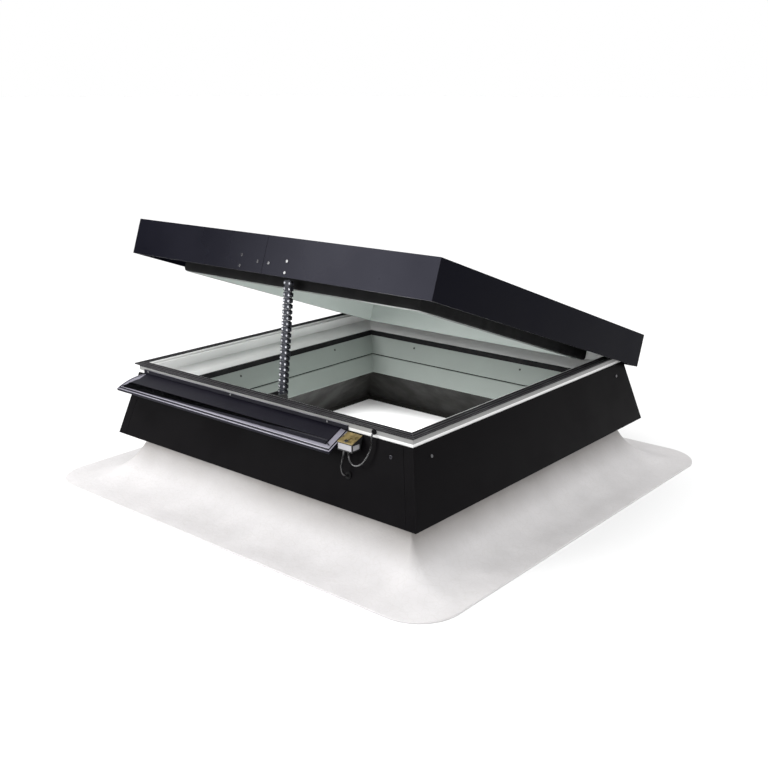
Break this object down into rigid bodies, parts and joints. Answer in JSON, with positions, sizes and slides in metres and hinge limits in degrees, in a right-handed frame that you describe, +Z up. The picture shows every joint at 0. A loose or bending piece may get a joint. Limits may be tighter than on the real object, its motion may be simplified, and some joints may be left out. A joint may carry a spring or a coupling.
{
  "type": "roof skylight",
  "caption": "Opening flat-roof skylight: flared moulded kerb with black cladding, white gasketed frame and a hinged glazed lid raised by a push-chain drive.",
  "frame": {"origin": "centre of the roof flange's underside", "axes": "+Z up out of the roof, +Y towards the hinges, -Y towards the opening edge with the hood"},
  "size_m": [1.267, 1.267, 0.6754],
  "materials": {
    "kerb_skin": "off-white moulded laminate, faint fibres and scratches",
    "foam": "pale rigid foam",
    "insulation": "grey mineral board",
    "lining": "grey-green satin board",
    "black_seal": "matt black seal",
    "rim_rubber": "dark grey ribbed rubber",
    "white_frame": "white satin profile",
    "black_sheet": "black satin powder coat",
    "hood_sheet": "dark blue-black coat",
    "drive_alu": "plain extrusion",
    "dark_plastic": "black moulded plastic",
    "steel": "dull steel",
    "screw_steel": "plated screws",
    "chain_steel": "dark steel links",
    "brass_plate": "dull yellow plate",
    "label": "bare white label",
    "cable": "black sheath",
    "sash": "dark grey sash profile",
    "glass": "clear pane, pale green",
    "spacer": "black edge spacer"
  },
  "bodies": {
    "kerb": {"kerb_upstand": "kerb_skin", "kerb_core": "foam", "outer_insulation": "insulation", "lining_lower": "lining", "lining_upper": "lining", "lining_joint_seal": "black_seal", "inner_seal": "black_seal", "lining_screws": "screw_steel", "fixed_frame": "white_frame", "rim_gasket": "rim_rubber", "cladding_front": "black_sheet", "cladding_back": "black_sheet", "cladding_left": "black_sheet", "cladding_right": "black_sheet", "cladding_screws": "screw_steel", "drive_housing": "drive_alu", "drive_end_caps": "dark_plastic", "drive_motor": "steel", "drive_gearbox": "drive_alu", "chain_plates": "chain_steel", "chain_pins": "steel", "chain_guide": "dark_plastic", "hood": "hood_sheet", "hood_screws": "screw_steel", "control_module": "dark_plastic", "terminal_box": "dark_plastic", "terminal_plate": "brass_plate", "terminal_labels": "label", "terminal_screw": "screw_steel", "frame_grommet": "black_seal", "cladding_grommet": "black_seal", "motor_cable": "cable", "supply_cable": "cable", "hinge_leaves_fixed": "black_sheet", "hinge_pins": "steel", "hinge_screws": "screw_steel"},
    "lid": {"hinge_leaves_lid": "black_sheet", "lid_cladding_left": "black_sheet", "lid_cladding_right": "black_sheet", "lid_carrier": "drive_alu", "splice_front": "black_sheet", "splice_back": "black_sheet", "splice_rivets": "screw_steel", "lid_sash": "sash", "sash_seal": "black_seal", "glass_inner": "glass", "glass_outer": "glass", "glass_spacer": "spacer", "glazing_gasket": "black_seal", "chain_bracket": "steel", "chain_bracket_pin": "steel", "bracket_screws": "screw_steel"},
    "drive_wheel": {"sprocket": "steel"}
  },
  "joints": [
    {"name": "lid_hinge", "type": "hinge", "parent": "kerb", "child": "lid", "pos_m": [0, 0.462, 0.3], "axis": [1, 0, 0], "range_deg": [0, 19.4], "deforming": ["chain_plates", "chain_pins"]},
    {"name": "sprocket_spin", "type": "hinge", "parent": "kerb", "child": "drive_wheel", "pos_m": [0.04114, -0.404, 0.228], "axis": [0, -1, 0], "range_deg": [0, 960]}
  ],
  "couplings": [
    {"joint": "sprocket_spin", "follows": "lid_hinge", "ratio": 48.9}
  ]
}
